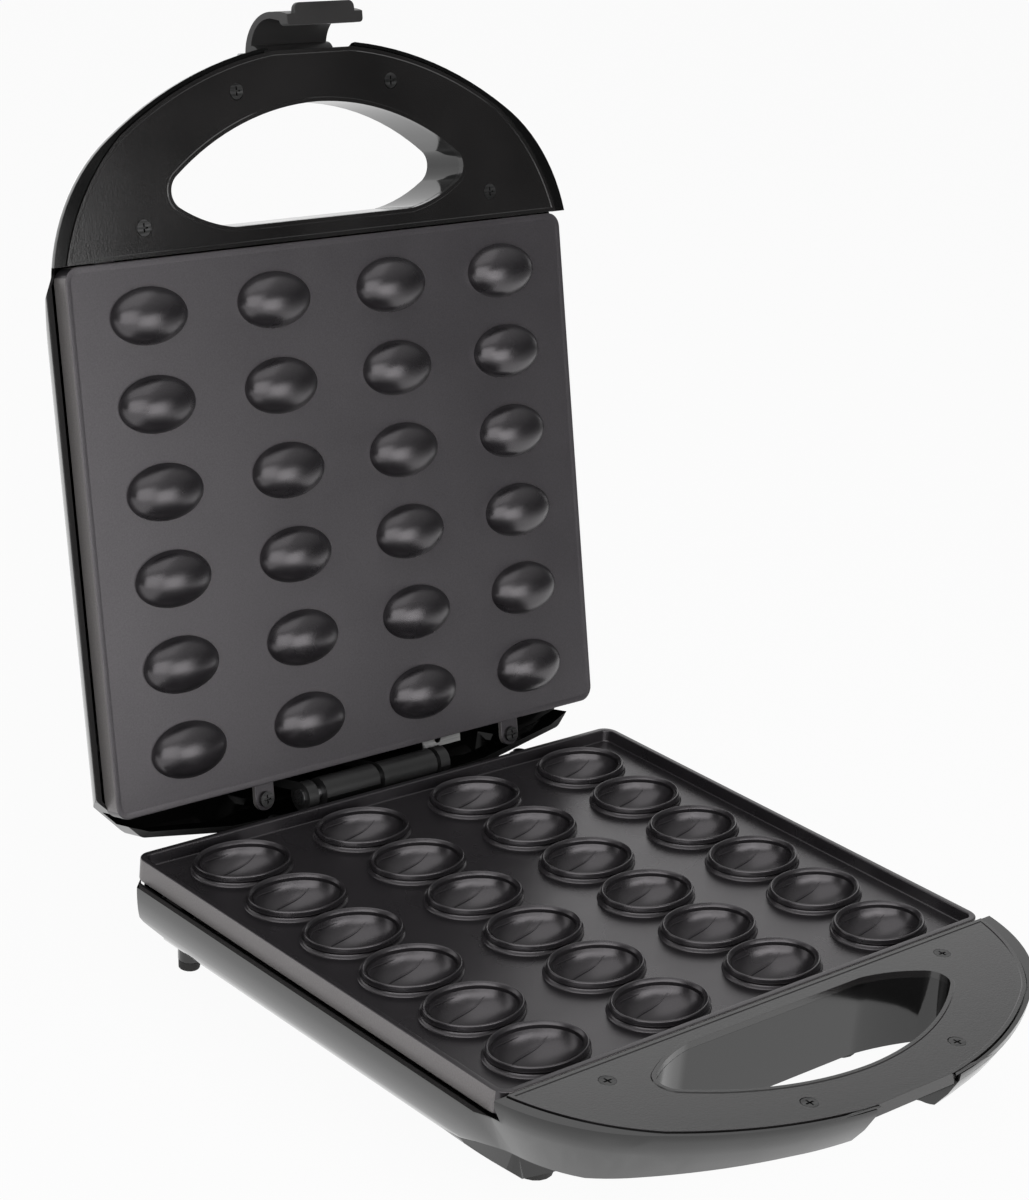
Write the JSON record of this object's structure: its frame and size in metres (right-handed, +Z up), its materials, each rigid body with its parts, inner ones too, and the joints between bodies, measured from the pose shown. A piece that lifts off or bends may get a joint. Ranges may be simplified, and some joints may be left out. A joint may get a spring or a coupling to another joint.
{
  "type": "electric nut cookie maker",
  "caption": "Hinged electric cooker that bakes nut-shaped cookie halves: domed lid plate, bowled base plate, bow-shaped handles, front latch.",
  "frame": {"origin": "on the table, under the middle of the open machine", "axes": "+X to the right along the hinge, -Y towards the handles, +Z up"},
  "size_m": [0.261, 0.3904, 0.3655],
  "materials": {
    "gloss_black": "polished black moulding",
    "satin_black": "satin black moulding",
    "nonstick": "dark grey non-stick coating with a fine grain",
    "dark_steel": "dark plated screws",
    "steel": "drawn steel",
    "tinned_sheet": "plain sheet metal",
    "rubber": "matte rubber",
    "lens": "clear coloured lens",
    "lamp_glass": "small neon lamp",
    "pale_plastic": "heat-proof moulding"
  },
  "bodies": {
    "base": {"lower_housing": "gloss_black", "lower_handle_cover": "satin_black", "lower_baking_plate": "nonstick", "lower_handle_screws": "dark_steel", "lower_plate_screws": "dark_steel", "hinge_pin": "steel", "front_feet": "rubber", "rear_feet": "rubber", "lower_heating_element": "steel", "lower_heat_reflector": "tinned_sheet", "lower_thermostat": "steel", "lower_thermal_fuse": "tinned_sheet", "terminal_block": "pale_plastic", "cord_bushing": "rubber"},
    "lid": {"upper_housing": "gloss_black", "upper_handle_cover": "satin_black", "upper_baking_plate": "nonstick", "upper_handle_screws": "dark_steel", "upper_plate_screws": "dark_steel", "latch_pin": "steel", "upper_heating_element": "steel", "upper_heat_reflector": "tinned_sheet", "upper_thermostat": "steel", "upper_thermal_fuse": "tinned_sheet", "indicator_lenses": "lens", "indicator_lamps": "lamp_glass", "lead_clamp": "tinned_sheet"},
    "latch": {"latch": "satin_black"}
  },
  "joints": [
    {"name": "lid_hinge", "type": "hinge", "parent": "base", "child": "lid", "pos_m": [0, 0.10333, 0.058], "axis": [1, 0, 0], "range_deg": [0, 104.2]},
    {"name": "latch_pivot", "type": "hinge", "parent": "lid", "child": "latch", "pos_m": [0, 0.19036, 0.34079], "axis": [1, 0, 0], "range_deg": [0, 26.5]}
  ]
}
